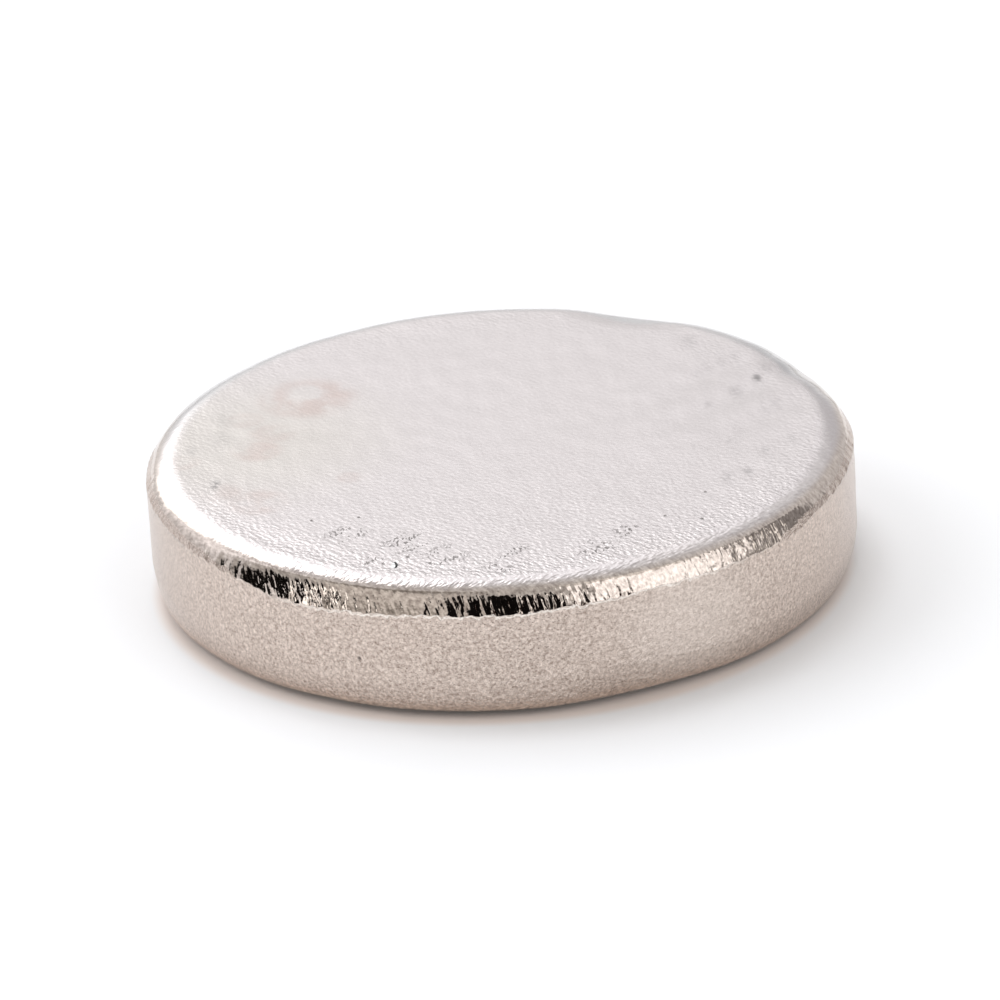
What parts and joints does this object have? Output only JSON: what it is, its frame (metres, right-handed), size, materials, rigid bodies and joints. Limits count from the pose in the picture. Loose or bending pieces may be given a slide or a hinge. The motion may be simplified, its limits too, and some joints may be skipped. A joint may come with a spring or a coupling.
{
  "type": "disc magnet",
  "caption": "Plain solid disc magnet with rounded tumbled edges and a bright satin nickel plating, for holding sheets or fitting in a round pocket.",
  "frame": {"origin": "centre of the lower pole face, which rests on the table", "axes": "+Z along the axis of the disc, up through the upper pole face; X and Y lie in the lower pole face and are interchangeable"},
  "size_m": [0.01, 0.01, 0.002],
  "materials": {
    "nickel_plating": "satin nickel electroplate with fine orange-peel grain and glossier tumbled edges"
  },
  "bodies": {
    "root": {"disc_magnet": "nickel_plating"}
  },
  "joints": []
}
